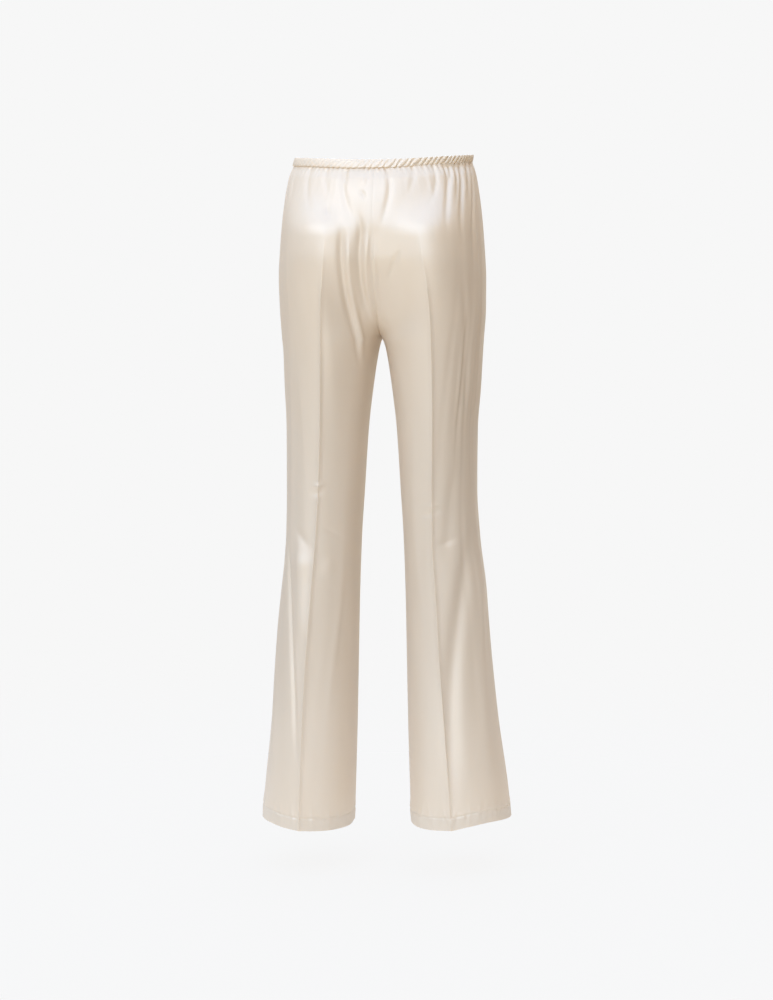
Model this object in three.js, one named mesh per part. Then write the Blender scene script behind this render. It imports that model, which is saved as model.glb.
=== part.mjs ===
// Pull-on satin trousers with a narrow elastic waist casing, pressed creases and straight legs that open a little
// towards the hem, held in the shape that they have when worn. Millimetres, +Z up.
// The origin is the centre of the waist opening, halfway up the casing. The wearer faces +Y, so the back of the
// trousers faces -Y and the wearer's left leg is at -X.
import * as THREE from "three";

// Driving dimensions.
const OUTSEAM = 1050; // from the origin down to the level of the hem
const RISE = 279; // from the origin down to the crotch point
const WAIST_TILT = 0.017; // rise of the waist for each millimetre to the right
const WAIST_DIPS = { back: 4, front: 6 }; // how much lower the waist lies at the centre back and the centre front
const WAIST_DIP_POWERS = { back: 4, front: 2 }; // the higher, the closer to the centre a dip keeps
const WAIST_SHAPE_FADES = 150; // below this level the tilt and the dips have died away
const CLOTH = 1.25; // thickness of a cloth wall
const SEAM_GAP = 0.3; // between two pieces that are sewn together
const CASING_HEIGHT = 13;
const CASING_THICKNESS = 3.4;
const RUCHES = 44; // ruches in each half of the casing
const RUCHE_DEPTH = 0.9;
const RUCHE_SLANT = 0.7; // how far a ruche leans, for each millimetre of height
const SLANT_FADES = 1 / 8; // over this share of each end of a half of the casing the ruches turn upright
const GATHERS = 22; // gathers at the top edge of each panel
const GATHER_DEPTH = 2.4;
const GATHERS_FADE = 105; // how far below the casing the gathers have died away
const GATHER_UNEVENNESS = 0.28; // the share of their depth that they gain and lose round the waist
const GATHER_BEAT = 31; // how quickly that changes across a panel
const HEM_DEPTH = 20; // height of the turned-up hem
const HEM_FADES = 200; // the hems' slopes die away this far above them
const CASING_SETBACK = 1.2; // the casing's inner face lies this far inside the panels' outer face

const PANEL_TOP = CASING_HEIGHT / 2 + SEAM_GAP;
const OVAL_UNTIL = 116; // the oval of the waist has parted into two rounded halves at this level
const HOOK_FROM = 144; // the centre seams start to turn in under the body here
const VALLEY = { back: 6, front: 3 }; // how far the centre seams lie below the rounded halves at that level
const SEAM_SOFTNESS = 0.14; // how gently the rounded halves run into the centre seams between them
const NARROWEST_WEB = 0.05; // the cloth between the halves narrows towards the crotch point, but not past this
const PRESS_WIDTH = 16; // how far round the leg a pressed crease lifts the cloth

// The body at a few levels. down: distance below the origin. outLeft, outRight: the side seams' distance from the
// middle. inner: the inseams' distance from the middle. creaseLeft, creaseRight: the pressed creases' distance from
// the middle. back, front: how deep the legs are behind and in front of the side seams. press: how sharp the creases
// are.
const COLUMNS = ["down", "outLeft", "outRight", "inner", "creaseLeft", "creaseRight", "back", "front", "press"];
const LEVELS = [
  [0, 140, 140.5, 0, 66, 66, 98, 96, 0],
  [7, 141.6, 142, 0, 66.5, 66.5, 99, 96.8, 0],
  [24, 148.5, 147.5, 0, 68, 68, 109, 100.5, 0],
  [64, 156, 154.5, 0, 70, 70, 123, 105, 0],
  [104, 160, 159, 0, 72, 74, 132.5, 108, 0],
  [144, 163, 162, 0, 75, 79.5, 131.5, 109, 1],
  [184, 165, 164, 0, 78, 86, 126, 107, 2.5],
  [229, 163.5, 164, 0, 81, 90.5, 119, 103, 4],
  [RISE, 160, 161, 0, 82, 92, 112, 98, 5],
  [285, 159.5, 160.5, 2.6, 82, 92, 111.5, 97.5, 5],
  [299, 158, 159.5, 6.5, 82.5, 92.5, 109.5, 96.5, 5.5],
  [359, 156, 156, 16, 84, 93, 103, 92, 6.5],
  [424, 154, 151.5, 23.5, 85.5, 92.5, 97, 88, 7],
  [524, 154, 151, 30, 89.5, 91.5, 91, 82, 7.5],
  [594, 155.5, 155, 34.5, 94, 92, 89, 80, 7.5],
  [694, 163.5, 167, 38, 102.5, 98.5, 90, 81, 7.5],
  [794, 171.5, 176, 40, 110, 104.5, 92, 83, 7.5],
  [894, 179.5, 187, 42, 115.5, 112, 94, 85, 7],
  [994, 190, 201.5, 45, 119.5, 120, 96, 87, 6],
  [OUTSEAM, 195.5, 208, 47, 121, 123, 97, 88, 5],
];

// How far the hems hang below their level. across runs from 0 at the side seams to 1 at the inseams.
const HEM_COLUMNS = ["across", "left", "right"];
const HEM_DROPS = [
  [0, 3, -2],
  [0.25, 5, -4.5],
  [0.4, 9.5, 0],
  [0.5, 12, 5],
  [0.75, 14.5, 8],
  [0.9, 14.5, 6.5],
  [1, 10, 4],
];

// The largest folds, each a soft ridge (lift above 0) or trough (lift below 0) down one panel, from top to foot. It
// curves through three places across the panel, from 0 at the side seam, by 0.5 at the crease, to 1 at the centre
// seam or inseam.
const FOLD_COLUMNS = [
  "leg", "face", "top", "foot", "acrossTop", "acrossMiddle", "acrossFoot", "halfWidth", "lift",
];
const FOLDS = [
  ["left", "back", 80, 330, 0.69, 0.65, 0.79, 9, -4],
  ["left", "back", 90, 320, 0.76, 0.72, 0.86, 9, 4],
  ["left", "back", 70, 270, 0.89, 0.79, 0.88, 8, -3.5],
  ["left", "back", 15, 90, 0.81, 0.8, 0.79, 7, -2],
  ["right", "back", 15, 150, 0.59, 0.52, 0.46, 9, -3],
  ["right", "back", 15, 150, 0.32, 0.25, 0.2, 9, -3.5],
  ["right", "back", 15, 150, 0.45, 0.39, 0.33, 9, 2.5],
  ["right", "back", 150, 420, 0.26, 0.24, 0.22, 12, -3],
  ["left", "back", 590, 1010, 0.16, 0.38, 0.51, 16, -6],
  ["left", "back", 580, 760, 0.34, 0.4, 0.44, 14, 4],
  ["right", "back", 560, 1030, 0.1, 0.39, 0.48, 17, -7.5],
  ["right", "back", 580, 1000, 0.08, 0.17, 0.24, 17, 5],
  ["left", "front", 80, 290, 0.86, 0.8, 0.76, 12, 4],
  ["left", "front", 110, 260, 0.88, 0.88, 0.88, 11, -3],
  ["right", "front", 80, 300, 0.84, 0.78, 0.74, 12, 4],
  ["right", "front", 120, 260, 0.87, 0.88, 0.87, 11, -3],
  ["left", "front", 580, 960, 0.2, 0.32, 0.4, 18, -6],
  ["right", "front", 560, 900, 0.22, 0.33, 0.42, 18, -6],
];

const PANEL_WIDER = 80; // a panel is about this much wider than twice the depth of its side of the leg

const LEGS = { left: -1, right: 1 };
const FACES = { back: -1, front: 1 };

const clamp01 = (t) => Math.min(1, Math.max(0, t));
const smoothstep = (a, b, t) => {
  const s = clamp01((t - a) / (b - a));
  return s * s * (3 - 2 * s);
};

// A smooth curve through one column of a table that doesn't overshoot between its rows. x is the table's first column.
function column(table, k) {
  const x = table.map((row) => row[0]);
  const y = table.map((row) => row[k]);
  const slope = x.slice(1).map((next, i) => (y[i + 1] - y[i]) / (next - x[i]));
  const tangent = y.map((_, i) => {
    if (i === 0) return slope[0];
    if (i === y.length - 1) return slope[i - 1];
    if (slope[i - 1] * slope[i] <= 0) return 0;
    return (2 * slope[i - 1] * slope[i]) / (slope[i - 1] + slope[i]);
  });
  return (at) => {
    const found = x.findIndex((next) => next > at) - 1;
    const i = found < 0 ? (at < x[0] ? 0 : x.length - 2) : found;
    const h = x[i + 1] - x[i];
    const t = (at - x[i]) / h;
    const rise = t * t * (3 - 2 * t);
    return (
      y[i] * (1 - rise) +
      y[i + 1] * rise +
      h * t * (1 - t) * (tangent[i] * (1 - t) - tangent[i + 1] * t)
    );
  };
}

const columnsOf = (names, table) => Object.fromEntries(names.map((name, k) => [name, column(table, k)]));
const level = columnsOf(COLUMNS, LEVELS);
const hemDrop = columnsOf(HEM_COLUMNS, HEM_DROPS);

// How far the centre seam lies behind or in front of the side seams. It curves in under the body to the crotch point.
function centreSeamDepth(face, depth, down) {
  const valley = (face < 0 ? VALLEY.back : VALLEY.front) * smoothstep(0, HOOK_FROM, down);
  const s = clamp01((RISE - down) / (RISE - HOOK_FROM));
  return (depth - valley) * Math.sqrt(1 - (1 - s) * (1 - s));
}

// The smooth outer face of the cloth, before gathers and folds. u runs from 0 at the side seam, by 0.5 at the pressed
// crease, to 1 at the centre seam, or below the crotch at the inseam.
function bodyPoint(leg, face, u, down) {
  const out = level[leg < 0 ? "outLeft" : "outRight"](down);
  const depth = level[face < 0 ? "back" : "front"](down);
  const crease = level[leg < 0 ? "creaseLeft" : "creaseRight"](down);
  const turn = (u * Math.PI) / 2;
  const oval = [out * Math.cos(turn), depth * Math.sin(turn)];

  let legPoint;
  if (u < 0.5) {
    const a = u * Math.PI;
    legPoint = [crease + (out - crease) * Math.cos(a), depth * Math.sin(a)];
  } else {
    const a = (u - 0.5) * Math.PI;
    const inner = down < RISE ? 0 : Math.max(0, level.inner(down));
    const end = down < RISE ? centreSeamDepth(face, depth, down) : 0;
    const share = 1 - Math.sin(a);
    const shallow = share * share * (3 - 2 * share);
    const k = SEAM_SOFTNESS * (1 - smoothstep((HOOK_FROM + RISE) / 2, RISE, down));
    const round = (Math.hypot(Math.cos(a), k) - k) / (Math.hypot(1, k) - k);
    const profile = shallow + (round - shallow) * smoothstep(HOOK_FROM, RISE, down);
    const seamShare = end / depth;
    const web = seamShare * (1 - profile) ** (1 / Math.max(seamShare, NARROWEST_WEB));
    legPoint = [inner + (crease - inner) * share, depth * (profile + web)];
  }
  const fromCrease = Math.abs(u - 0.5) * 2 * depth;
  legPoint[1] += level.press(down) * Math.exp(-fromCrease / PRESS_WIDTH);

  const parted = smoothstep(0, OVAL_UNTIL, down);
  const x = leg * (oval[0] * (1 - parted) + legPoint[0] * parted);
  const y = face * (oval[1] * (1 - parted) + legPoint[1] * parted);
  return new THREE.Vector3(x, y, height(x, y, u, down));
}

// The height of a point whose level is given in millimetres down the side seam, so that the waist and hems can slope.
function height(x, y, u, down) {
  const waist = 1 - smoothstep(0, WAIST_SHAPE_FADES, down);
  const side = y < 0 ? "back" : "front";
  const towardsCentre = Math.min(1, Math.abs(y) / level[side](0));
  const dip = WAIST_DIPS[side] * towardsCentre ** WAIST_DIP_POWERS[side];
  const foot = smoothstep(OUTSEAM - HEM_FADES, OUTSEAM, down);
  const drop = hemDrop[x < 0 ? "left" : "right"](u);
  return -down + waist * (WAIST_TILT * x - dip) - foot * drop;
}

// The direction out of the cloth between two levels, at u round the body.
function normalBetween(leg, face, u, upper, lower) {
  const du = 0.01;
  const middle = (upper + lower) / 2;
  const round = bodyPoint(leg, face, Math.min(1, u + du), middle);
  round.sub(bodyPoint(leg, face, Math.max(0, u - du), middle));
  const along = bodyPoint(leg, face, u, lower).sub(bodyPoint(leg, face, u, upper));
  const normal = along.cross(round).multiplyScalar(leg * face);
  if (u === 0) normal.y = 0;
  return normal.normalize();
}

// The way to move a point so that the cloth above it and below it both move out by one millimetre.
function outward(leg, face, u, down) {
  const above = normalBetween(leg, face, u, down - 1, down);
  const below = normalBetween(leg, face, u, down, down + 1);
  const share = 1 + Math.max(0, above.dot(below));
  return above.add(below).divideScalar(share);
}

// How far gathers lift the cloth. They are even columns of alternate valleys and peaks, uneven in depth.
function gatherLift(leg, face, u, down) {
  const fade = 1 - smoothstep(PANEL_TOP, GATHERS_FADE, down);
  const uneven = 1 - GATHER_UNEVENNESS + GATHER_UNEVENNESS * Math.sin(GATHER_BEAT * u + 2 * leg + face);
  return GATHER_DEPTH * fade * uneven * (0.5 - 0.5 * Math.cos(2 * Math.PI * GATHERS * u));
}

// How far the folds in FOLDS lift the cloth.
function foldLift(leg, face, u, down) {
  let lift = 0;
  for (const row of FOLDS) {
    const fold = Object.fromEntries(FOLD_COLUMNS.map((name, i) => [name, row[i]]));
    if (LEGS[fold.leg] !== leg || FACES[fold.face] !== face) continue;
    const t = (down - fold.top) / (fold.foot - fold.top);
    if (t <= 0 || t >= 1) continue;
    const bend = 2 * fold.acrossMiddle - (fold.acrossTop + fold.acrossFoot) / 2;
    const across = (1 - t) ** 2 * fold.acrossTop + 2 * t * (1 - t) * bend + t * t * fold.acrossFoot;
    const panelWidth = 2 * level[face < 0 ? "back" : "front"](down) + PANEL_WIDER;
    const away = (u - across) * panelWidth;
    lift += fold.lift * Math.sin(Math.PI * t) * Math.exp(-((away / fold.halfWidth) ** 2));
  }
  return lift;
}

// A point of the cloth, inset millimetres inside its outer face, kept on its own side of the seams. The top edge and
// the hem's edge stay level through the cloth.
function clothPoint(leg, face, u, down, inset) {
  const lift = gatherLift(leg, face, u, down) + foldLift(leg, face, u, down);
  const p = bodyPoint(leg, face, u, down);
  const z = p.z;
  p.addScaledVector(outward(leg, face, u, down), lift - inset);
  p.x = leg * Math.max(leg * p.x, SEAM_GAP / 2);
  p.y = face * Math.max(face * p.y, SEAM_GAP / 2);
  if (down === PANEL_TOP || down === OUTSEAM) p.z = z;
  return p;
}

// Triangles between two rows of points that may differ in number. Each row is a list of indices.
function zip(upper, lower, faces) {
  let i = 0;
  let j = 0;
  while (i < upper.length - 1 || j < lower.length - 1) {
    const nextUpper = (i + 1) / (upper.length - 1);
    const nextLower = (j + 1) / (lower.length - 1);
    if (j === lower.length - 1 || (i < upper.length - 1 && nextUpper <= nextLower)) {
      faces.push([upper[i], lower[j], upper[i + 1]]);
      i += 1;
    } else {
      faces.push([upper[i], lower[j], lower[j + 1]]);
      j += 1;
    }
  }
}

// A closed solid from rows of outer points and the rows of inner points behind them, from the top row down.
// A ring's rows close on themselves; otherwise the first and last columns get an edge.
function wall(outerRows, innerRows, ring, outwards) {
  const points = [];
  const index = (row) => {
    const start = points.length;
    points.push(...row);
    const list = row.map((_, i) => start + i);
    return ring ? [...list, start] : list;
  };
  const outer = outerRows.map(index);
  const inner = innerRows.map(index);
  const faces = [];
  const back = [];
  for (let r = 0; r + 1 < outer.length; r += 1) {
    zip(outer[r], outer[r + 1], faces);
    zip(inner[r], inner[r + 1], back);
  }
  zip(inner[0], outer[0], faces);
  zip(outer.at(-1), inner.at(-1), faces);
  if (!ring) {
    zip(outer.map((row) => row[0]), inner.map((row) => row[0]), faces);
    zip(outer.map((row) => row.at(-1)), inner.map((row) => row.at(-1)), back);
  }
  faces.push(...back.map(([a, b, c]) => [a, c, b]));
  const geometry = new THREE.BufferGeometry();
  const positions = points.flatMap((p) => [p.x, p.y, p.z]);
  geometry.setAttribute("position", new THREE.Float32BufferAttribute(positions, 3));
  geometry.setIndex(faces.flatMap(([a, b, c]) => (outwards ? [a, b, c] : [a, c, b])));
  geometry.computeVertexNormals();
  return geometry;
}

const PANEL_COLUMNS = 16;
const GATHERED_LEVELS = [PANEL_TOP, 17, 36, 62];
const HALF_GATHERED_LEVELS = [88];
const HIP_LEVELS = [112, 140, 170, 195, 217, 236, 251, 262, 271, 276.5];
const LEG_LEVELS = [
  RISE, 285, 294, 309, 332, 364, 404, 454, 509, 564, 619, 674, 729, 784, 839, 894, 944, 990,
  OUTSEAM - HEM_DEPTH, OUTSEAM,
];

function columnsAt(down) {
  if (GATHERED_LEVELS.includes(down)) return 2 * GATHERS;
  return HALF_GATHERED_LEVELS.includes(down) ? GATHERS : PANEL_COLUMNS;
}

function clothRow(leg, face, down, inset) {
  const n = columnsAt(down);
  return Array.from({ length: n + 1 }, (_, i) => clothPoint(leg, face, i / n, down, inset));
}

// One cut piece of cloth: a quarter of the hips and half of a leg.
function panel(leg, face) {
  const levels = [...GATHERED_LEVELS, ...HALF_GATHERED_LEVELS, ...HIP_LEVELS, ...LEG_LEVELS];
  const outer = levels.map((down) => clothRow(leg, face, down, 0));
  const inner = levels.map((down) => clothRow(leg, face, down, CLOTH));
  return wall(outer, inner, false, leg * face > 0);
}

// The turned-up hem, a low ring just inside the foot of a leg.
function hem(leg) {
  const rowAt = (down, inset) => {
    const backRow = clothRow(leg, -1, down, inset);
    const frontRow = clothRow(leg, 1, down, inset).reverse();
    [...backRow, ...frontRow].forEach((p) => {
      if (Math.abs(p.y) < SEAM_GAP) p.y = 0;
    });
    return [...backRow, ...frontRow.slice(1, -1)];
  };
  const levels = [OUTSEAM - HEM_DEPTH, OUTSEAM];
  const outset = CLOTH + SEAM_GAP;
  const outer = levels.map((down) => rowAt(down, outset));
  const inner = levels.map((down) => rowAt(down, outset + CLOTH));
  return wall(outer, inner, true, leg < 0);
}

// The casing's section: height above its middle, distance out from its inner face, and how much of a ruche it takes.
const CASING_SECTION = [
  { height: 0.5, out: 0.35, ruche: 0.6 },
  { height: 0.3, out: 0.85, ruche: 1 },
  { height: 0, out: 1, ruche: 1 },
  { height: -0.3, out: 0.85, ruche: 1 },
  { height: -0.5, out: 0.35, ruche: 0.6 },
  { height: -0.4, out: 0, ruche: 0 },
  { height: 0.4, out: 0, ruche: 0 },
];

// Half of the elastic casing, ruched by the elastic inside it.
function casing(face) {
  const columns = 2 * RUCHES;
  const radius = (level.outLeft(0) + level.outRight(0)) / 2; // turns a lean in millimetres into an angle
  const sections = [];
  for (let i = 0; i <= columns; i += 1) {
    const share = i / columns;
    const slanted = Math.min(1, share / SLANT_FADES, (1 - share) / SLANT_FADES);
    const ruche = i % 2 ? RUCHE_DEPTH : 0;
    sections.push(
      CASING_SECTION.map((corner) => {
        const above = corner.height * CASING_HEIGHT;
        const lean = (slanted * RUCHE_SLANT * -above) / radius;
        const angle = Math.PI * share + lean * Math.sign(corner.out);
        const thickness = corner.out * (CASING_THICKNESS - RUCHE_DEPTH) + corner.ruche * ruche;
        const offset = thickness - CASING_SETBACK;
        const outX = Math.cos(angle) > 0 ? level.outRight(0) : level.outLeft(0);
        const depth = level[face < 0 ? "back" : "front"](0);
        const x = (outX + offset) * Math.cos(angle);
        const y = face * Math.max((depth + offset) * Math.sin(angle), SEAM_GAP / 2);
        return new THREE.Vector3(x, y, height(x, y, 0, 0) + above);
      }),
    );
  }
  const n = CASING_SECTION.length;
  const points = sections.flat();
  const faces = [];
  for (let i = 0; i < columns; i += 1) {
    for (let k = 0; k < n; k += 1) {
      const a = i * n + k;
      const b = i * n + ((k + 1) % n);
      faces.push([a, b, a + n], [b, b + n, a + n]);
    }
  }
  for (let k = 1; k + 1 < n; k += 1) {
    faces.push([0, k + 1, k]);
    const last = columns * n;
    faces.push([last, last + k, last + k + 1]);
  }
  const geometry = new THREE.BufferGeometry();
  const positions = points.flatMap((p) => [p.x, p.y, p.z]);
  geometry.setAttribute("position", new THREE.Float32BufferAttribute(positions, 3));
  geometry.setIndex(faces.flatMap(([a, b, c]) => (face < 0 ? [a, c, b] : [a, b, c])));
  geometry.computeVertexNormals();
  return geometry;
}

const satin = () =>
  new THREE.MeshStandardMaterial({ color: 0xe9dfd0, roughness: 0.38, metalness: 0 });

function piece(name, geometry) {
  const mesh = new THREE.Mesh(geometry, satin());
  mesh.name = name;
  return mesh;
}

const trousers = new THREE.Group();
for (const [legName, leg] of Object.entries(LEGS)) {
  for (const [faceName, face] of Object.entries(FACES)) {
    trousers.add(piece(`${faceName}_${legName}`, panel(leg, face)));
  }
  trousers.add(piece(`hem_${legName}`, hem(leg)));
}
trousers.add(piece("waistband_back", casing(-1)));
trousers.add(piece("waistband_front", casing(1)));

export default trousers;
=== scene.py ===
"""Satin pull-on trousers with an elastic waist, filled out as when worn and seen from behind.

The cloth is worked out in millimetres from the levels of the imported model, the seat eased by up to 1.6 mm.
It has finer gathers, folds and seams, and is placed in the frame in metres. u runs from 0 at a side seam, by
0.5 at a pressed crease, to 1 at a centre seam or inseam. down is the distance below the waist. leg is -1 for
the wearer's left and 1 for the right; face is -1 for the back and 1 for the front.
"""

import functools
import math

import bpy
import numpy as np
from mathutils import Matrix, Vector


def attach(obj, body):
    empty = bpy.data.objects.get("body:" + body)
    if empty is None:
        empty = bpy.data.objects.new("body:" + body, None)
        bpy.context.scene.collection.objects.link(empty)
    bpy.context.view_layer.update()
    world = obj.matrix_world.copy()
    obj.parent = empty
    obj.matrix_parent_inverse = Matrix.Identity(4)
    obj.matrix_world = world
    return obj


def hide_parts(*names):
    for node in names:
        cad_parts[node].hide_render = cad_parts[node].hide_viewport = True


MM = 0.001
LEGS = {"left": -1, "right": 1}
FACES = {"back": -1, "front": 1}

# ---------------------------------------------------------------- driving sizes, millimetres
OUTSEAM = 1050
RISE = 279  # down to the crotch point
CLOTH = 1.25
HEM_DEPTH = 20
HEM_FADES = 200  # how far above the foot the slope of the hems starts
WAIST_TILT = 0.017
WAIST_DIPS = {"back": 4, "front": 6}
WAIST_DIP_POWERS = {"back": 4, "front": 2}
WAIST_SHAPE_FADES = 150
OVAL_UNTIL = 116  # by this level the waist's oval has parted into two rounded halves
HOOK_FROM = 144  # from this level down the centre seam curves in under the body
VALLEY = {-1: 6, 1: 3}
SEAM_SOFTNESS = 0.14
NARROWEST_WEB = 0.05
PRESS_WIDTH = 16

# The body at a few levels. out_left, out_right: from the middle to the side seams. inner: to the inseams.
# crease_left, crease_right: to the pressed creases. back, front: how deep the legs are. press: how far the
# creases stand out.
LEVEL_COLUMNS = (
    "down", "out_left", "out_right", "inner", "crease_left", "crease_right", "back", "front", "press"
)
LEVELS = (
    (0, 140, 140.5, 0, 66, 66, 98, 96, 0),
    (7, 141.6, 142, 0, 66.5, 66.5, 99, 96.8, 0),
    (24, 148.5, 147.5, 0, 68, 68, 109, 100.5, 0),
    (64, 156, 154.5, 0, 70, 70, 122.8, 105, 0),
    (104, 160, 159, 0, 72, 74, 130.9, 108, 0),
    (144, 163, 162, 0, 75, 79.5, 132.3, 109, 1),
    (184, 165, 164, 0, 78, 86, 127.2, 107, 2.5),
    (229, 163.5, 164, 0, 81, 90.5, 119, 103, 4),
    (RISE, 160, 161, 0, 82, 92, 112, 98, 5),
    (285, 159.5, 160.5, 2.6, 82, 92, 111.5, 97.5, 5),
    (299, 158, 159.5, 6.5, 82.5, 92.5, 109.5, 96.5, 5.5),
    (359, 156, 156, 16, 84, 93, 103, 92, 6.5),
    (424, 154, 151.5, 23.5, 85.5, 92.5, 97, 88, 7),
    (524, 154, 151, 30, 89.5, 91.5, 91, 82, 7.5),
    (594, 155.5, 155, 34.5, 94, 92, 89, 80, 7.5),
    (694, 163.5, 167, 38, 102.5, 98.5, 90, 81, 7.5),
    (794, 171.5, 176, 40, 110, 104.5, 92, 83, 7.5),
    (894, 179.5, 187, 42, 115.5, 112, 94, 85, 7),
    (994, 190, 201.5, 45, 119.5, 120, 96, 87, 6),
    (OUTSEAM, 195.5, 208, 47, 121, 123, 97, 88, 5),
)

# How far the hems hang below their level, from 0 across at the side seams to 1 at the inseams.
HEM_COLUMNS = ("across", "left", "right")
HEM_DROPS = (
    (0, 3, -2),
    (0.25, 5, -4.5),
    (0.4, 9.5, 0),
    (0.5, 12, 5),
    (0.75, 14.5, 8),
    (0.9, 14.5, 6.5),
    (1, 10, 4),
)

# Each panel's grid. to is how far down a stretch of rows goes, step the distance between its rows.
PANEL_TOP = 5.0
GRID_STRETCHES = (
    {"to": 66, "step": 1.6},
    {"to": RISE, "step": 2.8},
    {"to": 490, "step": 4.2},
    {"to": 640, "step": 2.2},
    {"to": 1018, "step": 4.2},
    {"to": OUTSEAM, "step": 1.1},
)
GRID_COLUMNS = 120
GRID_CROWDING = 0.4  # how much closer together the columns are at the crease and the seams

# The casing of the elastic. For each millimetre of its height it leans in by CASING_LEANS, so a number
# below 0 leans out. Its ruches are deeper at the right side seam.
CASING_HEIGHT = 13
CASING_THICKNESS = 3.4
CASING_SETBACK = 1.2
CASING_LEANS = {"left": 0.3, "right": -0.2}
CASING_ROUNDING = {"height": 0.8, "thickness": 0.45}
CASING_SECTION = 36
RUCHES = 44
RUCHE_COLUMNS = 12
RUCHE_DEPTH = 1.5
RUCHES_DEEPER_RIGHT = 0.7
RUCHE_SLANT = 0.85
RUCHE_POWER = 0.7
RUCHE_LEVEL = 0.6  # the share of a ruche's height that is sunk into the casing's plain face
RUCHE_SPREAD = 0.12

# Seams, creases and rims. The edges of two panels keep twice SEAM_HALF_GAP apart, and a groove runs along
# them. Folds fade out over the last FOLDS_CLEAR_SEAMS before a seam.
SEAM_HALF_GAP = 0.04
SEAM_DEPTH = 0.8
SEAM_HALF_WIDTH = 1.6
CENTRE_SEAM_DEPTH = 0.3  # the share of SEAM_DEPTH that a centre seam has, until it nears the crotch
CREASE_LIFT = 2.1
CREASE_HALF_WIDTH = 3
CREASE_STARTS = (90, 230)  # the creases grow to their full height between these levels
FOLDS_CLEAR_SEAMS = 5
SHARP_EDGE = math.radians(60)

# How strongly each panel is gathered below the casing, at its side seam and at the middle of the body.
GATHER_COUNT = 22
GATHERS = {
    (-1, -1): {"side_seam": 0.6, "middle": 0.4},
    (1, -1): {"side_seam": 0.5, "middle": 0.4},
    (-1, 1): {"side_seam": 0.6, "middle": 0.45},
    (1, 1): {"side_seam": 0.6, "middle": 0.45},
}

# The valleys between the gathers that run furthest down from the casing.
VALLEY_COLUMNS = ("leg", "face", "foot", "at_top", "at_foot", "half_width", "depth")
VALLEYS = (
    ("left", "back", 110, 0.82, 0.71, 4, 2.4),
    ("left", "back", 60, 0.66, 0.61, 4, 1.4),
    ("left", "back", 85, 0.50, 0.42, 4, 1.5),
    ("left", "back", 70, 0.30, 0.25, 4, 1.4),
    ("left", "back", 95, 0.14, 0.13, 4, 1.8),
    ("right", "back", 130, 0.93, 0.79, 4, 2.2),
    ("right", "back", 60, 0.74, 0.69, 3.5, 1.2),
    ("right", "back", 75, 0.59, 0.48, 3.5, 1.7),
    ("right", "back", 135, 0.48, 0.33, 4, 2.6),
    ("right", "back", 50, 0.42, 0.39, 3, 2.4),
    ("right", "back", 80, 0.365, 0.30, 3.2, 3),
    ("right", "back", 150, 0.30, 0.235, 3.6, 4),
    ("right", "back", 75, 0.185, 0.195, 3.2, 3.2),
    ("right", "back", 210, 0.09, 0.165, 3.6, 4),
    ("left", "front", 70, 0.92, 0.88, 3.5, 1.6),
    ("left", "front", 120, 0.80, 0.69, 4, 2.4),
    ("left", "front", 60, 0.68, 0.62, 3.5, 1.6),
    ("left", "front", 115, 0.55, 0.43, 4, 2.4),
    ("left", "front", 70, 0.42, 0.35, 3.5, 2),
    ("left", "front", 130, 0.30, 0.22, 4, 3),
    ("left", "front", 80, 0.17, 0.16, 3.5, 2.2),
    ("left", "front", 150, 0.07, 0.12, 4, 2.6),
    ("right", "front", 65, 0.90, 0.85, 3.5, 1.6),
    ("right", "front", 125, 0.78, 0.67, 4, 2.4),
    ("right", "front", 55, 0.66, 0.61, 3.5, 1.4),
    ("right", "front", 120, 0.52, 0.40, 4, 2.6),
    ("right", "front", 75, 0.38, 0.31, 3.5, 2),
    ("right", "front", 140, 0.27, 0.20, 4, 3.2),
    ("right", "front", 160, 0.08, 0.14, 4, 2.8),
)

# The small tucks that the casing's ruches leave just below it.
TUCK_SPACING = 8.5
TUCK_LIFT = 0.85
TUCK_REACH = 7

# Long shallow undulations of each panel: wide ones down the legs, and fine ones down the outer thighs. The
# pairs are the least and the most. place is a share of the panel's least width. tall and slant go both ways.
DRAPE_COLUMNS = ("count", "place", "middle", "reach", "half_width", "tall", "slant")
DRAPES = (
    (26, (0.04, 0.96), (230, 960), (60, 170), (6, 15), 1.1, 0.06),
    (30, (0.03, 0.5), (150, 400), (50, 130), (2.6, 5), 1.1, 0.03),
)

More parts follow.
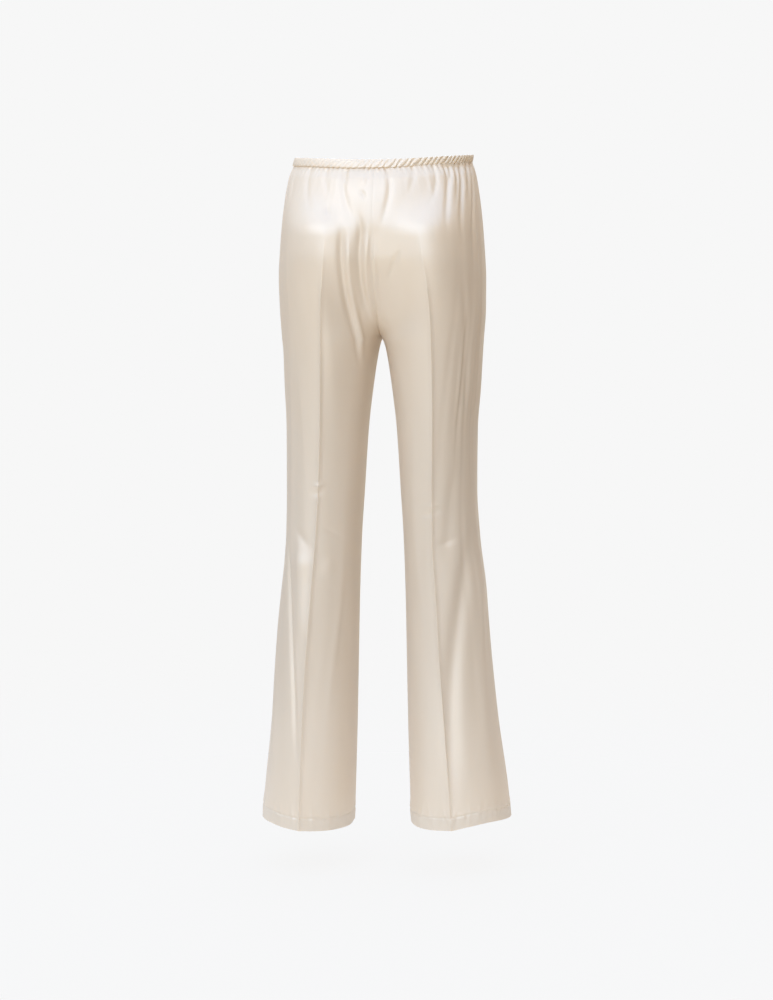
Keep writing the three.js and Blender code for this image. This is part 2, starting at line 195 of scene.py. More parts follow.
# Folds: soft ridges (lift above 0) and troughs (lift below 0) down a panel, on a curve through three places
# across it.
FOLD_COLUMNS = ("leg", "face", "top", "foot", "at_top", "at_middle", "at_foot", "half_width", "lift")
FOLDS = (
    # the seat
    ("left", "back", 80, 335, 0.62, 0.655, 0.80, 6, -5),
    ("left", "back", 90, 325, 0.67, 0.69, 0.81, 7, 4.4),
    ("left", "back", 65, 275, 0.82, 0.775, 0.905, 6, -4.4),
    ("left", "back", 90, 275, 0.87, 0.83, 0.885, 6, 3),
    ("right", "back", 135, 185, 0.64, 0.70, 0.75, 4, -1.6),
    ("right", "back", 110, 300, 0.97, 0.92, 0.96, 6, 1.8),
    # the front of the rise
    ("left", "front", 80, 300, 0.86, 0.80, 0.76, 9, 3.6),
    ("left", "front", 110, 280, 0.88, 0.88, 0.88, 8, -3),
    ("right", "front", 80, 310, 0.84, 0.78, 0.74, 9, 3.6),
    ("right", "front", 120, 275, 0.87, 0.88, 0.87, 8, -3),
    # the outer thighs
    ("right", "back", 150, 420, 0.26, 0.24, 0.22, 8, -2.6),
    ("right", "back", 200, 520, 0.10, 0.13, 0.15, 6, -1.8),
    ("left", "back", 180, 470, 0.20, 0.19, 0.17, 9, -1.6),
    ("left", "front", 160, 430, 0.24, 0.22, 0.20, 9, -2),
    ("right", "front", 150, 440, 0.22, 0.21, 0.19, 9, -2),
    # the knees and lower legs
    ("left", "back", 575, 960, 0.17, 0.36, 0.47, 4, -4.4),
    ("left", "back", 580, 780, 0.34, 0.41, 0.45, 12, 4),
    ("left", "back", 640, 1020, 0.05, 0.16, 0.26, 16, 3),
    ("right", "back", 560, 1030, 0.14, 0.41, 0.47, 14, -6),
    ("right", "back", 580, 1010, 0.05, 0.17, 0.24, 16, 3.4),
    ("right", "back", 470, 640, 0.30, 0.36, 0.40, 10, -1.8),
    ("left", "front", 580, 960, 0.20, 0.32, 0.40, 15, -6),
    ("left", "front", 600, 900, 0.40, 0.48, 0.54, 13, 2.4),
    ("right", "front", 560, 940, 0.22, 0.33, 0.42, 15, -6),
    ("right", "front", 600, 920, 0.08, 0.18, 0.26, 15, 3),
)

# Puckers: small rounded dents (lift below 0) and bulges (lift above 0). wide and tall are half sizes. lean
# turns their length clockwise from level, in degrees.
PUCKER_COLUMNS = ("leg", "face", "u", "down", "wide", "tall", "lean", "lift")
PUCKERS = (
    ("left", "back", 0.508, 510, 9, 5, -14, 2.1),
    ("left", "back", 0.500, 521, 9, 5, -14, -2.1),
    ("left", "back", 0.43, 636, 20, 18, -15, 2.3),
    ("left", "back", 0.60, 640, 10, 13, 0, 2.2),
    ("left", "back", 0.39, 594, 17, 7, 42, -1.6),
    ("left", "back", 0.62, 585, 14, 5, 24, -1.2),
    ("left", "back", 0.69, 74, 10, 4, 70, -1.5),
    ("left", "back", 0.78, 22, 7, 4, 65, -1.6),
    ("left", "back", 0.93, 26, 7, 4, 100, 1.6),
    ("left", "back", 0.93, 48, 7, 4, 60, -1.6),
    ("right", "back", 0.50, 540, 13, 4, 14, 1.2),
    ("right", "back", 0.52, 552, 15, 4, 14, -1.3),
    ("right", "back", 0.40, 596, 16, 6, 20, -1.6),
    ("left", "front", 0.52, 530, 14, 5, 10, 0.9),
    ("left", "front", 0.50, 541, 15, 5, 10, -0.9),
    ("right", "front", 0.52, 548, 14, 5, -12, 0.9),
    ("right", "front", 0.50, 559, 15, 5, -12, -0.9),
)

# The stitch line of the hems draws the cloth in, unevenly.
STITCH_DEPTH = 0.9
STITCH_HALF_WIDTH = 1.5
STITCH_PUCKERS = 46
STITCH_PUCKER_HALF_WIDTH = 3

# The turned-up cloth inside the foot of a leg.
TURN_UP_ROWS = 14
TURN_UP_COLUMNS = 91


# ---------------------------------------------------------------- the cloth's shape
def smoothstep(a, b, t):
    s = np.clip((t - a) / (b - a), 0, 1)
    return s * s * (3 - 2 * s)


def column(table, k):
    """A smooth curve through column k of a table that doesn't overshoot between its rows."""
    table = np.array(table, dtype=float)
    x, y = table[:, 0], table[:, k]
    slope = np.diff(y) / np.diff(x)
    before, after = slope[:-1], slope[1:]
    same_way = before * after > 0
    middle = np.zeros_like(before)
    middle[same_way] = 2 * before[same_way] * after[same_way] / (before + after)[same_way]
    tangent = np.concatenate(([slope[0]], middle, [slope[-1]]))

    def curve(at):
        i = np.clip(np.searchsorted(x, at, side="right") - 1, 0, len(x) - 2)
        h = x[i + 1] - x[i]
        t = (at - x[i]) / h
        rise = t * t * (3 - 2 * t)
        bow = h * t * (1 - t) * (tangent[i] * (1 - t) - tangent[i + 1] * t)
        return y[i] * (1 - rise) + y[i + 1] * rise + bow

    return curve


LEVEL = {name: column(LEVELS, k) for k, name in enumerate(LEVEL_COLUMNS)}
HEM_DROP = {name: column(HEM_DROPS, k) for k, name in enumerate(HEM_COLUMNS)}


def centre_seam_depth(face, depth, down):
    """How far the centre seam lies from the side seams. It curves in under the body to the crotch point."""
    valley = VALLEY[face] * smoothstep(0, HOOK_FROM, down)
    s = np.clip((RISE - down) / (RISE - HOOK_FROM), 0, 1)
    return (depth - valley) * np.sqrt(1 - (1 - s) ** 2)


def height(x, y, u, down):
    """The height of a point of a level, so that the waist and the hems can slope."""
    waist = 1 - smoothstep(0, WAIST_SHAPE_FADES, down)
    dips = {}
    for side in FACES:
        towards_centre = np.minimum(1, np.abs(y) / LEVEL[side](0.0))
        dips[side] = WAIST_DIPS[side] * towards_centre ** WAIST_DIP_POWERS[side]
    dip = np.where(y < 0, dips["back"], dips["front"])
    foot = smoothstep(OUTSEAM - HEM_FADES, OUTSEAM, down)
    drop = np.where(x < 0, HEM_DROP["left"](u), HEM_DROP["right"](u))
    return -down + waist * (WAIST_TILT * x - dip) - foot * drop


def body_point(leg, face, u, down):
    """The smooth outer face of the cloth, before gathers and folds, as an array of points."""
    out = LEVEL["out_left" if leg < 0 else "out_right"](down)
    depth = LEVEL["back" if face < 0 else "front"](down)
    crease = LEVEL["crease_left" if leg < 0 else "crease_right"](down)
    inner = np.where(down < RISE, 0, np.maximum(0, LEVEL["inner"](down)))
    end = np.where(down < RISE, centre_seam_depth(face, depth, down), 0)

    outer_turn = np.minimum(u, 0.5) * np.pi
    inner_turn = (np.maximum(u, 0.5) - 0.5) * np.pi
    share = 1 - np.sin(inner_turn)
    shallow = share * share * (3 - 2 * share)
    k = SEAM_SOFTNESS * (1 - smoothstep((HOOK_FROM + RISE) / 2, RISE, down))
    rounded = (np.hypot(np.cos(inner_turn), k) - k) / (np.hypot(1, k) - k)
    profile = shallow + (rounded - shallow) * smoothstep(HOOK_FROM, RISE, down)
    seam_share = end / depth
    web = seam_share * (1 - profile) ** (1 / np.maximum(seam_share, NARROWEST_WEB))
    outer_half = u < 0.5
    outer_x = crease + (out - crease) * np.cos(outer_turn)
    inner_x = inner + (crease - inner) * share
    leg_x = np.where(outer_half, outer_x, inner_x)
    leg_y = depth * np.where(outer_half, np.sin(outer_turn), profile + web)
    leg_y = leg_y + LEVEL["press"](down) * np.exp(-np.abs(u - 0.5) * 2 * depth / PRESS_WIDTH)

    turn = u * np.pi / 2
    parted = smoothstep(0, OVAL_UNTIL, down)
    x = leg * (out * np.cos(turn) * (1 - parted) + leg_x * parted)
    y = face * (depth * np.sin(turn) * (1 - parted) + leg_y * parted)
    return np.stack(np.broadcast_arrays(x, y, height(x, y, u, down)), axis=-1)


def normals(points, leg, face):
    """The direction out of the cloth at each point of a grid with rows down it and columns along u."""
    along = np.gradient(points, axis=0)
    round_body = np.gradient(points, axis=1)
    normal = np.cross(along, round_body) * leg * face
    return normal / np.maximum(np.linalg.norm(normal, axis=-1, keepdims=True), 1e-9)


def grid_rows():
    rows = [PANEL_TOP]
    for stretch in GRID_STRETCHES:
        count = max(1, round((stretch["to"] - rows[-1]) / stretch["step"]))
        rows.extend(np.linspace(rows[-1], stretch["to"], count + 1)[1:])
    return np.array(rows)


def grid_columns():
    """Columns from the side seam to the centre seam, closer together at the crease and the seams."""
    t = np.linspace(0, 1, GRID_COLUMNS + 1)
    return t - GRID_CROWDING * np.sin(4 * np.pi * t) / (4 * np.pi)


def rows_of(table, columns, leg, face):
    """The rows of a table that belong to one panel, as dictionaries."""
    rows = [dict(zip(columns, row)) for row in table]
    return [row for row in rows if (LEGS[row["leg"]], FACES[row["face"]]) == (leg, face)]


def across_at(places, u, across):
    """How far across each row of a grid a place of u lies, as a column."""
    return np.array([np.interp(place, u, row) for place, row in zip(places, across)])[:, None]


def gather_lift(leg, face, across, width, down, seed):
    """Uneven ridges below the casing. They are strongest near the side seams."""
    random = np.random.default_rng(seed)
    side = GATHERS[leg, face]
    lift = np.zeros(np.broadcast_shapes(across.shape, down.shape))
    for i in range(GATHER_COUNT):
        place = (i + 0.5 + random.uniform(-0.28, 0.28)) / GATHER_COUNT
        strong = side["middle"] + (side["side_seam"] - side["middle"]) * np.cos(np.pi * place / 2) ** 4
        reach = random.uniform(18, 50) * (0.5 + 0.8 * strong)
        tall = random.uniform(0.9, 2.1) * strong
        fan = random.uniform(-0.0002, 0.0002)
        middle = (place + fan * down) * width
        half_width = random.uniform(2.1, 3.3) * (1 + down / 80)
        fade = np.exp(-np.maximum(down - 8, 0) / reach)
        lift = lift + tall * fade * np.exp(-(((across - middle) / half_width) ** 2))
    return lift * smoothstep(PANEL_TOP - 2, 13, down)


def fold_lift(leg, face, across, u, down):
    lift = np.zeros_like(across)
    for fold in rows_of(FOLDS, FOLD_COLUMNS, leg, face):
        t = np.clip((down - fold["top"]) / (fold["foot"] - fold["top"]), 0, 1)
        middle = 2 * fold["at_middle"] - (fold["at_top"] + fold["at_foot"]) / 2
        place = (1 - t) ** 2 * fold["at_top"] + 2 * t * (1 - t) * middle + t**2 * fold["at_foot"]
        fade = smoothstep(0, 0.3, t) * smoothstep(0, 0.3, 1 - t)
        away = across - across_at(place[:, 0], u, across)
        lift += fold["lift"] * fade * np.exp(-((away / fold["half_width"]) ** 2))
    return lift


def valley_lift(leg, face, across, u, down):
    lift = np.zeros_like(across)
    for valley in rows_of(VALLEYS, VALLEY_COLUMNS, leg, face):
        t = np.clip(down / valley["foot"], 0, 1)
        place = valley["at_foot"] + (valley["at_top"] - valley["at_foot"]) * (1 - t) ** 2
        half_width = valley["half_width"] * (1 + 0.6 * t)
        away = (across - across_at(place[:, 0], u, across)) / half_width
        lift -= valley["depth"] * (1 - smoothstep(0.25, 1, t)) * np.exp(-(away**2))
    return lift * smoothstep(PANEL_TOP - 2, 12, down)


def tuck_lift(across, down):
    fade = np.exp(-np.maximum(down - PANEL_TOP, 0) / TUCK_REACH)
    return TUCK_LIFT * np.cos(2 * np.pi * across / TUCK_SPACING) * fade


def drape_lift(across, width, down, seed):
    random = np.random.default_rng(seed)
    narrowest = width.min()
    lift = np.zeros_like(across)
    for row in DRAPES:
        drapes = dict(zip(DRAPE_COLUMNS, row))
        for _ in range(drapes["count"]):
            place = random.uniform(*drapes["place"])
            middle = random.uniform(*drapes["middle"])
            reach = random.uniform(*drapes["reach"])
            half_width = random.uniform(*drapes["half_width"])
            tall = random.uniform(-drapes["tall"], drapes["tall"])
            slant = random.uniform(-drapes["slant"], drapes["slant"])
            away = across - place * narrowest - slant * (down - middle)
            lift += tall * np.exp(-((away / half_width) ** 2) - ((down - middle) / reach) ** 2)
    return lift


def pucker_lift(leg, face, across, width, down):
    lift = np.zeros_like(across)
    for pucker in rows_of(PUCKERS, PUCKER_COLUMNS, leg, face):
        lean = math.radians(pucker["lean"])
        away = across - pucker["u"] * width
        below = down - pucker["down"]
        along = away * math.cos(lean) + below * math.sin(lean)
        aside = below * math.cos(lean) - away * math.sin(lean)
        lift += pucker["lift"] * np.exp(-((along / pucker["wide"]) ** 2) - (aside / pucker["tall"]) ** 2)
    return lift


def stitch_lift(across, width, down, seed):
    """The groove of the hem's stitch line, and the short puckers that it pulls up above and below it."""
    random = np.random.default_rng(seed)
    from_line = down - (OUTSEAM - HEM_DEPTH)
    lift = -STITCH_DEPTH * np.exp(-((from_line / STITCH_HALF_WIDTH) ** 2)) * np.ones_like(across)
    for i in range(STITCH_PUCKERS):
        place = (i + 0.5 + random.uniform(-0.4, 0.4)) / STITCH_PUCKERS
        tall = random.uniform(-0.2, 1.5)
        reach = random.uniform(4, 16)
        slant = random.uniform(-0.5, 0.5)
        away = across - place * width - slant * from_line
        lift += tall * np.exp(-((away / STITCH_PUCKER_HALF_WIDTH) ** 2) - (from_line / reach) ** 2)
    return lift


def panel_grid(leg, face):
    """Outer and inner points of one panel, as grids."""
    down = grid_rows()[:, None]
    u = grid_columns()[None, :]
    base = body_point(leg, face, u, down)
    steps = np.linalg.norm(np.diff(base, axis=1), axis=-1)
    across = np.concatenate([np.zeros((len(base), 1)), np.cumsum(steps, axis=1)], axis=1)
    width = across[:, -1:]
    lift = gather_lift(leg, face, across, width, down, seed=7 + 2 * leg + 5 * face)
    lift += fold_lift(leg, face, across, u[0], down)
    lift += valley_lift(leg, face, across, u[0], down)
    lift += tuck_lift(across, down)
    lift += drape_lift(across, width, down, seed=53 + 2 * leg + 5 * face)
    lift += pucker_lift(leg, face, across, width, down)
    lift += stitch_lift(across, width, down, seed=31 + 2 * leg + 5 * face)
    from_seam = np.minimum(across, width - across)
    lift *= smoothstep(0, FOLDS_CLEAR_SEAMS, from_seam)
    near_crotch = smoothstep(0.7 * RISE, RISE, down)
    centre_share = CENTRE_SEAM_DEPTH + (1 - CENTRE_SEAM_DEPTH) * near_crotch
    seam_depth = SEAM_DEPTH * np.where(across < width / 2, 1, centre_share)
    lift -= seam_depth * np.exp(-((from_seam / SEAM_HALF_WIDTH) ** 2))
    to_crease = across - across_at(np.full(len(across), 0.5), u[0], across)
    lift += CREASE_LIFT * smoothstep(*CREASE_STARTS, down) * np.exp(-np.abs(to_crease) / CREASE_HALF_WIDTH)
    outer = base + normals(base, leg, face) * lift[..., None]
    inner = outer - normals(outer, leg, face) * CLOTH
    for grid in (outer, inner):
        grid[..., 0] = leg * np.maximum(leg * grid[..., 0], SEAM_HALF_GAP)
        grid[..., 1] = face * np.maximum(face * grid[..., 1], SEAM_HALF_GAP)
    inner[0, :, 2] = outer[0, :, 2]
    inner[-1, :, 2] = outer[-1, :, 2]
    return outer, inner, across


def cloth_object(name, points, faces, flat):
    """A smooth mesh with sharp rims. flat holds where each point lies on the flat cloth, for the UV map."""
    mesh = bpy.data.meshes.new(name)
    mesh.from_pydata((points * MM).tolist(), [], faces)
    mesh.update()
    mesh.shade_smooth()
    mesh.set_sharp_from_angle(angle=SHARP_EDGE)
    uv = mesh.uv_layers.new(name="cloth")
    loops = np.empty(len(mesh.loops), dtype=np.int32)
    mesh.loops.foreach_get("vertex_index", loops)
    uv.data.foreach_set("uv", (flat * MM)[loops].ravel())
    piece = bpy.data.objects.new(name, mesh)
    bpy.context.scene.collection.objects.link(piece)
    return piece


def quads(a, b, c, d):
    return np.stack([a.ravel(), b.ravel(), c.ravel(), d.ravel()], axis=1)


def shell(name, outer, inner, across, outwards, ring=False):
    """A closed mesh between two grids of points."""
    rows, columns = outer.shape[:2]
    index = np.arange(rows * columns).reshape(rows, columns)
    if ring:
        index = np.concatenate([index, index[:, :1]], axis=1)
    under = index + rows * columns
    faces = [
        quads(index[:-1, :-1], index[1:, :-1], index[1:, 1:], index[:-1, 1:]),
        quads(under[:-1, :-1], under[:-1, 1:], under[1:, 1:], under[1:, :-1]),
        quads(under[0, :-1], index[0, :-1], index[0, 1:], under[0, 1:]),
        quads(index[-1, :-1], under[-1, :-1], under[-1, 1:], index[-1, 1:]),
    ]
    if not ring:
        faces.append(quads(index[:-1, 0], under[:-1, 0], under[1:, 0], index[1:, 0]))
        faces.append(quads(under[:-1, -1], index[:-1, -1], index[1:, -1], under[1:, -1]))
    faces = np.concatenate(faces)
    if not outwards:
        faces = faces[:, ::-1]
    points = np.concatenate([outer.reshape(-1, 3), inner.reshape(-1, 3)])
    flat = np.stack([across.ravel(), -outer[..., 2].ravel()], axis=1)
    return cloth_object(name, points, faces.tolist(), np.concatenate([flat, flat]))


def make_panel(leg_name, face_name):
    leg, face = LEGS[leg_name], FACES[face_name]
    outer, inner, across = panel_grid(leg, face)
    return shell(f"{face_name}_{leg_name}_cloth", outer, inner, across, leg * face > 0)


def make_hem(leg_name):
    """The turned-up cloth just inside the foot of a leg."""
    leg = LEGS[leg_name]
    down = np.linspace(OUTSEAM - HEM_DEPTH, OUTSEAM - 0.2, TURN_UP_ROWS)[:, None]
    u = np.linspace(0, 1, TURN_UP_COLUMNS)[None, :]
    rings = []
    for inset in (CLOTH + 0.1, 2 * CLOTH):
        half_rings = []
        for face in (-1, 1):
            base = body_point(leg, face, u, down)
            base = base - normals(base, leg, face) * inset
            base[..., 1] = face * np.maximum(face * base[..., 1], 0)
            half_rings.append(base)
        rings.append(np.concatenate([half_rings[0], half_rings[1][:, -2:0:-1]], axis=1))
    outer, inner = rings
    steps = np.linalg.norm(np.diff(outer, axis=1), axis=-1)
    across = np.concatenate([np.zeros((len(outer), 1)), np.cumsum(steps, axis=1)], axis=1)
    return shell(f"hem_{leg_name}_cloth", outer, inner, across, leg < 0, ring=True)


def rounded(wave, power):
    """A sine or cosine wave with its shoulders raised, so that a section is squarer than an ellipse."""
    return np.sign(wave) * np.abs(wave) ** power


def make_casing(face_name):
    """Half of the elastic casing. Its outer face is ruched in slanted puffs."""
    face = FACES[face_name]
    share = np.linspace(0, 1, RUCHES * RUCHE_COLUMNS + 1)[:, None]
    turn = np.linspace(0, 2 * np.pi, CASING_SECTION, endpoint=False)[None, :]
    up = rounded(np.sin(turn), CASING_ROUNDING["height"]) * CASING_HEIGHT / 2
    thick = rounded(np.cos(turn), CASING_ROUNDING["thickness"])
    outside = np.clip(thick, 0, 1)

    random = np.random.default_rng(11 + face)
    ruches = np.arange(RUCHES + 1)
    uneven = np.interp(share * RUCHES, ruches, random.uniform(-0.22, 0.22, RUCHES + 1))
    size = np.interp(share * RUCHES, ruches, random.uniform(0.7, 1.2, RUCHES + 1))
    radius = (LEVEL["out_left"](0.0) + LEVEL["out_right"](0.0)) / 2
    phase = share * RUCHES + uneven - face * RUCHE_SLANT * up / (np.pi * radius / RUCHES)
    puff = np.abs(np.sin(np.pi * phase)) ** RUCHE_POWER - RUCHE_LEVEL
    angle = np.pi * share
    deeper = 1 + RUCHES_DEEPER_RIGHT * smoothstep(0.3, 0.8, np.cos(angle))
    up = up * (1 + RUCHE_SPREAD * puff)

    towards_right = smoothstep(0, 0.7, np.cos(angle))
    lean = CASING_LEANS["left"] + (CASING_LEANS["right"] - CASING_LEANS["left"]) * towards_right
    plain = (thick + 1) * CASING_THICKNESS / 2 - CASING_SETBACK
    offset = plain + outside * puff * RUCHE_DEPTH * size * deeper - lean * up
    half_width = np.where(np.cos(angle) > 0, LEVEL["out_right"](0.0), LEVEL["out_left"](0.0))
    depth = LEVEL[face_name](0.0)
    x = (half_width + offset) * np.cos(angle)
    y = face * np.maximum((depth + offset) * np.sin(angle), SEAM_HALF_GAP)
    z = height(x, y, 0.0, 0.0) + up
    points = np.stack(np.broadcast_arrays(x, y, z), axis=-1)

    index = np.arange(len(share) * CASING_SECTION).reshape(-1, CASING_SECTION)
    index = np.concatenate([index, index[:, :1]], axis=1)
    faces = quads(index[:-1, :-1], index[:-1, 1:], index[1:, 1:], index[1:, :-1]).tolist()
    faces.append(index[0, :-1][::-1].tolist())
    faces.append(index[-1, :-1].tolist())
    if face > 0:
        faces = [corners[::-1] for corners in faces]
    flat = np.stack(np.broadcast_arrays(angle * radius, up), axis=-1).reshape(-1, 2)
    return cloth_object(f"waistband_{face_name}_cloth", points.reshape(-1, 3), faces, flat)


# ---------------------------------------------------------------- satin
def satin_material():
    material = bpy.data.materials.new("ivory_satin")
    material.use_nodes = True
    tree = material.node_tree
    nodes, links = tree.nodes, tree.links
    nodes.clear()
    output = nodes.new("ShaderNodeOutputMaterial")
    cloth = nodes.new("ShaderNodeBsdfPrincipled")
    cloth.inputs["Roughness"].default_value = 0.44
    cloth.inputs["Anisotropic"].default_value = 0.5
    cloth.inputs["IOR"].default_value = 2.7
    cloth.inputs["Sheen Weight"].default_value = 0.12
    cloth.inputs["Sheen Roughness"].default_value = 0.4
    through = nodes.new("ShaderNodeBsdfTranslucent")
    through.inputs["Color"].default_value = (0.97, 0.75, 0.43, 1)
    mix = nodes.new("ShaderNodeMixShader")
    mix.inputs["Fac"].default_value = 0.26
    links.new(cloth.outputs["BSDF"], mix.inputs[1])
    links.new(through.outputs["BSDF"], mix.inputs[2])
    links.new(mix.outputs["Shader"], output.inputs["Surface"])

    tangent = nodes.new("ShaderNodeTangent")
    tangent.direction_type = "UV_MAP"
    tangent.uv_map = "cloth"
    links.new(tangent.outputs["Tangent"], cloth.inputs["Tangent"])

    place = nodes.new("ShaderNodeTexCoord")
    # slow changes of tone, drawn out down the cloth
    stretch = nodes.new("ShaderNodeMapping")
    stretch.inputs["Scale"].default_value = (1, 1, 0.22)
    links.new(place.outputs["Object"], stretch.inputs["Vector"])
    tone = nodes.new("ShaderNodeTexNoise")
    tone.inputs["Scale"].default_value = 16
    tone.inputs["Detail"].default_value = 3
    links.new(stretch.outputs["Vector"], tone.inputs["Vector"])
    ramp = nodes.new("ShaderNodeValToRGB")
    ramp.color_ramp.elements[0].position = 0.3
    ramp.color_ramp.elements[0].color = (0.77, 0.68, 0.555, 1)
    ramp.color_ramp.elements[1].position = 0.7
    ramp.color_ramp.elements[1].color = (0.82, 0.737, 0.617, 1)
    links.new(tone.outputs["Fac"], ramp.inputs["Fac"])
    links.new(ramp.outputs["Color"], cloth.inputs["Base Color"])

    # the float threads, which run down the cloth
    threads = nodes.new("ShaderNodeMapping")
    threads.inputs["Scale"].default_value = (1, 1, 0.04)
    links.new(place.outputs["Object"], threads.inputs["Vector"])
    slub = nodes.new("ShaderNodeTexNoise")
    slub.inputs["Scale"].default_value = 900
    slub.inputs["Detail"].default_value = 2
    links.new(threads.outputs["Vector"], slub.inputs["Vector"])
    ripple = nodes.new("ShaderNodeTexNoise")
    ripple.inputs["Scale"].default_value = 38
    ripple.inputs["Detail"].default_value = 2
    links.new(stretch.outputs["Vector"], ripple.inputs["Vector"])
    soft = nodes.new("ShaderNodeBump")
    soft.inputs["Distance"].default_value = 0.0012
    soft.inputs["Strength"].default_value = 0.45
    links.new(ripple.outputs["Fac"], soft.inputs["Height"])
    fine = nodes.new("ShaderNodeBump")
    fine.inputs["Distance"].default_value = 0.00006
    fine.inputs["Strength"].default_value = 0.5
    links.new(slub.outputs["Fac"], fine.inputs["Height"])
    links.new(soft.outputs["Normal"], fine.inputs["Normal"])
    links.new(fine.outputs["Normal"], cloth.inputs["Normal"])
    return material


# ---------------------------------------------------------------- studio
PHOTO_HEIGHT = 1000
PIXEL = 1.6  # millimetres of the trousers in a pixel of the photograph
SENSOR_WIDTH = 36
CAMERA_AZIMUTH = math.radians(8)
CAMERA_ELEVATION = math.radians(6)
CAMERA_DISTANCE = 5.6
AIM = Vector((0.0056, 0.0008, -0.541))
BACKGROUND = 0.93

# The light round the object. A part of the studio shows where all its windows do. A window opens along an
# axis, from nothing at its first number to full at its second.
TOP = ("Z", 0.5, 0.8)
NOT_TOP = ("Z", 0.8, 0.5)
HIGH = ("Z", -0.04, 0.27)
NOT_HIGH = ("Z", 0.27, -0.04)
LOW = ("Z", -0.12, -0.45)
NOT_LOW = ("Z", -0.45, -0.12)
LEFT = ("X", -0.1, -0.65)
NOT_LEFT = ("X", -0.65, -0.1)
RIGHT = ("X", 0.1, 0.6)
NOT_RIGHT = ("X", 0.6, 0.1)
FAR = ("Y", 0.5, 0.85)
STUDIO = (
    ("overhead", (TOP,), (1.3, 1.55, 2.0)),
    ("ceiling_left", (HIGH, NOT_TOP, LEFT), (0.92, 0.94, 0.97)),
    ("ceiling_middle", (HIGH, NOT_TOP, NOT_LEFT, NOT_RIGHT), (2.45, 2.95, 3.6)),
    ("ceiling_right", (HIGH, NOT_TOP, RIGHT), (0.7, 0.5, 0.26)),
    ("wall_left", (NOT_HIGH, NOT_LOW, LEFT), (0.08, 0.08, 0.09)),
    ("wall_middle", (NOT_HIGH, NOT_LOW, NOT_LEFT, NOT_RIGHT), (1.9, 1.78, 1.5)),
    ("backdrop", (FAR, NOT_TOP, NOT_LOW), (0.22, 0.18, 0.12)),
    ("below", (LOW, NOT_RIGHT), (1.1, 1.0, 0.85)),
    ("below_right", (LOW, RIGHT), (0.3, 0.2, 0.1)),
)

# The floor is FLOOR_BELOW_HEM below the feet and fades out from the first radius to the second, in metres.
FLOOR_BELOW_HEM = 80
FLOOR_FADES = (0.7, 2.35)
FLOOR_RADIUS = 2.4
FLOOR_SIDES = 96


def make_camera():
    data = bpy.data.cameras.new("camera")
    data.sensor_width = SENSOR_WIDTH
    data.lens = SENSOR_WIDTH * CAMERA_DISTANCE / (PHOTO_HEIGHT * PIXEL * MM)
    camera = bpy.data.objects.new("camera", data)
    bpy.context.scene.collection.objects.link(camera)
    towards = Vector((
        math.sin(CAMERA_AZIMUTH) * math.cos(CAMERA_ELEVATION),
        -math.cos(CAMERA_AZIMUTH) * math.cos(CAMERA_ELEVATION),
        math.sin(CAMERA_ELEVATION),
    ))
    camera.location = AIM + towards * CAMERA_DISTANCE
    camera.rotation_euler = (-towards).to_track_quat("-Z", "Y").to_euler()
    bpy.context.scene.camera = camera


def area_light(name, place, aim, size, power, colour=(1, 1, 1)):
    data = bpy.data.lights.new(name, "AREA")
    data.shape = "RECTANGLE"
    data.size, data.size_y = size
    data.energy = power
    data.color = colour
    light = bpy.data.objects.new(name, data)
    bpy.context.scene.collection.objects.link(light)
    light.location = place
    light.rotation_euler = (Vector(aim) - Vector(place)).to_track_quat("-Z", "Y").to_euler()


def make_lights():
    area_light(
        "key", place=(-2.4, -3.0, 1.7), aim=(0, 0, -0.4), size=(1.6, 1.4), power=27, colour=(0.8, 0.88, 1)
    )


def make_world():
    """The background that the camera sees, and for all other rays the studio of STUDIO."""
    world = bpy.data.worlds.new("studio")
    world.use_nodes = True
    nodes, links = world.node_tree.nodes, world.node_tree.links
    nodes.clear()
    place = nodes.new("ShaderNodeTexCoord")
    direction = nodes.new("ShaderNodeSeparateXYZ")
    links.new(place.outputs["Generated"], direction.inputs["Vector"])

    def window(axis, start, end):
        """0 where the direction's part along the axis is at start or before it, and 1 from end on."""
        node = nodes.new("ShaderNodeMapRange")
        node.interpolation_type = "SMOOTHSTEP"
        node.inputs["From Min"].default_value = start
        node.inputs["From Max"].default_value = end
        links.new(direction.outputs[axis], node.inputs["Value"])
        return node.outputs["Result"]

    def product(first, second):
        node = nodes.new("ShaderNodeMath")
        node.operation = "MULTIPLY"
        links.new(first, node.inputs[0])
        links.new(second, node.inputs[1])
        return node.outputs["Value"]

    studio = None
    for _, windows, colour in STUDIO:
        share = functools.reduce(product, [window(*w) for w in windows])
        part = nodes.new("ShaderNodeBackground")
        part.inputs["Color"].default_value = (*colour, 1)
        links.new(share, part.inputs["Strength"])
        if studio:
            total = nodes.new("ShaderNodeAddShader")
            links.new(studio.outputs[0], total.inputs[0])
            links.new(part.outputs[0], total.inputs[1])
            studio = total
        else:
            studio = part
    plain = nodes.new("ShaderNodeBackground")
    plain.inputs["Color"].default_value = (BACKGROUND, BACKGROUND, BACKGROUND, 1)
    path = nodes.new("ShaderNodeLightPath")
    seen = nodes.new("ShaderNodeMixShader")
    links.new(path.outputs["Is Camera Ray"], seen.inputs["Fac"])
    links.new(studio.outputs[0], seen.inputs[1])
    links.new(plain.outputs[0], seen.inputs[2])
    output = nodes.new("ShaderNodeOutputWorld")
    links.new(seen.outputs[0], output.inputs["Surface"])
    bpy.context.scene.world = world


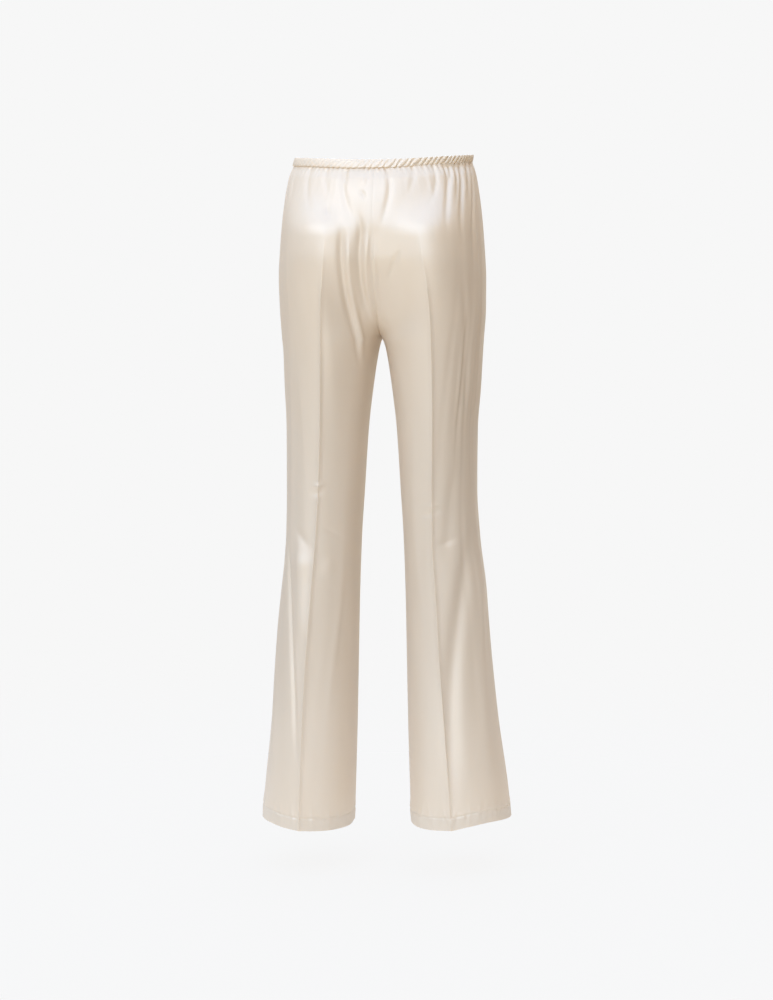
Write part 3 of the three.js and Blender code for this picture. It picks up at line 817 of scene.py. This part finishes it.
def make_floor():
    """A pale round floor that fades out into the background."""
    z = -(OUTSEAM + FLOOR_BELOW_HEM) * MM
    angles = np.linspace(0, 2 * np.pi, FLOOR_SIDES, endpoint=False)
    ring = [(FLOOR_RADIUS * math.cos(a), FLOOR_RADIUS * math.sin(a), z) for a in angles]
    mesh = bpy.data.meshes.new("floor")
    mesh.from_pydata(ring, [], [list(range(FLOOR_SIDES))])
    floor = bpy.data.objects.new("floor", mesh)
    bpy.context.scene.collection.objects.link(floor)
    material = bpy.data.materials.new("pale_floor")
    material.use_nodes = True
    nodes, links = material.node_tree.nodes, material.node_tree.links
    nodes.clear()
    output = nodes.new("ShaderNodeOutputMaterial")
    paint = nodes.new("ShaderNodeBsdfDiffuse")
    paint.inputs["Color"].default_value = (0.95, 0.9, 0.84, 1)
    glow = nodes.new("ShaderNodeEmission")
    glow.inputs["Color"].default_value = (BACKGROUND, BACKGROUND, BACKGROUND, 1)
    glow.inputs["Strength"].default_value = 0.985
    even = nodes.new("ShaderNodeMixShader")
    even.inputs["Fac"].default_value = 0.96
    links.new(paint.outputs["BSDF"], even.inputs[1])
    links.new(glow.outputs["Emission"], even.inputs[2])
    place = nodes.new("ShaderNodeTexCoord")
    away = nodes.new("ShaderNodeVectorMath")
    away.operation = "LENGTH"
    level = nodes.new("ShaderNodeVectorMath")
    level.operation = "MULTIPLY"
    level.inputs[1].default_value = (1, 1, 0)
    links.new(place.outputs["Object"], level.inputs[0])
    links.new(level.outputs["Vector"], away.inputs[0])
    fade = nodes.new("ShaderNodeMapRange")
    fade.interpolation_type = "SMOOTHSTEP"
    fade.inputs["From Min"].default_value = FLOOR_FADES[0]
    fade.inputs["From Max"].default_value = FLOOR_FADES[1]
    links.new(away.outputs["Value"], fade.inputs["Value"])
    clear = nodes.new("ShaderNodeBsdfTransparent")
    edge = nodes.new("ShaderNodeMixShader")
    links.new(fade.outputs["Result"], edge.inputs["Fac"])
    links.new(even.outputs["Shader"], edge.inputs[1])
    links.new(clear.outputs["BSDF"], edge.inputs[2])
    links.new(edge.outputs["Shader"], output.inputs["Surface"])
    mesh.materials.append(material)


# ---------------------------------------------------------------- the scene
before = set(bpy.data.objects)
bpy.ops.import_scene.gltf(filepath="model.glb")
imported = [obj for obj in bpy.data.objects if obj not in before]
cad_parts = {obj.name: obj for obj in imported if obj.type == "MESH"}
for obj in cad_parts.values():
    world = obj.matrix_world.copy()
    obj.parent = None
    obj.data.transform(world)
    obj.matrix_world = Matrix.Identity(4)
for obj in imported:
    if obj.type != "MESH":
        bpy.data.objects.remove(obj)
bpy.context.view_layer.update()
SATIN = satin_material()

for leg_name in LEGS:
    for face_name in FACES:
        panel = make_panel(leg_name, face_name)
        panel.data.materials.append(SATIN)
        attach(panel, "root")
        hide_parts(f"{face_name}_{leg_name}")
    hem = make_hem(leg_name)
    hem.data.materials.append(SATIN)
    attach(hem, "root")
    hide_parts(f"hem_{leg_name}")

for face_name in FACES:
    casing = make_casing(face_name)
    casing.data.materials.append(SATIN)
    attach(casing, "root")
    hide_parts(f"waistband_{face_name}")

make_floor()
make_camera()
make_lights()
make_world()
bpy.context.scene.view_settings.view_transform = "Standard"
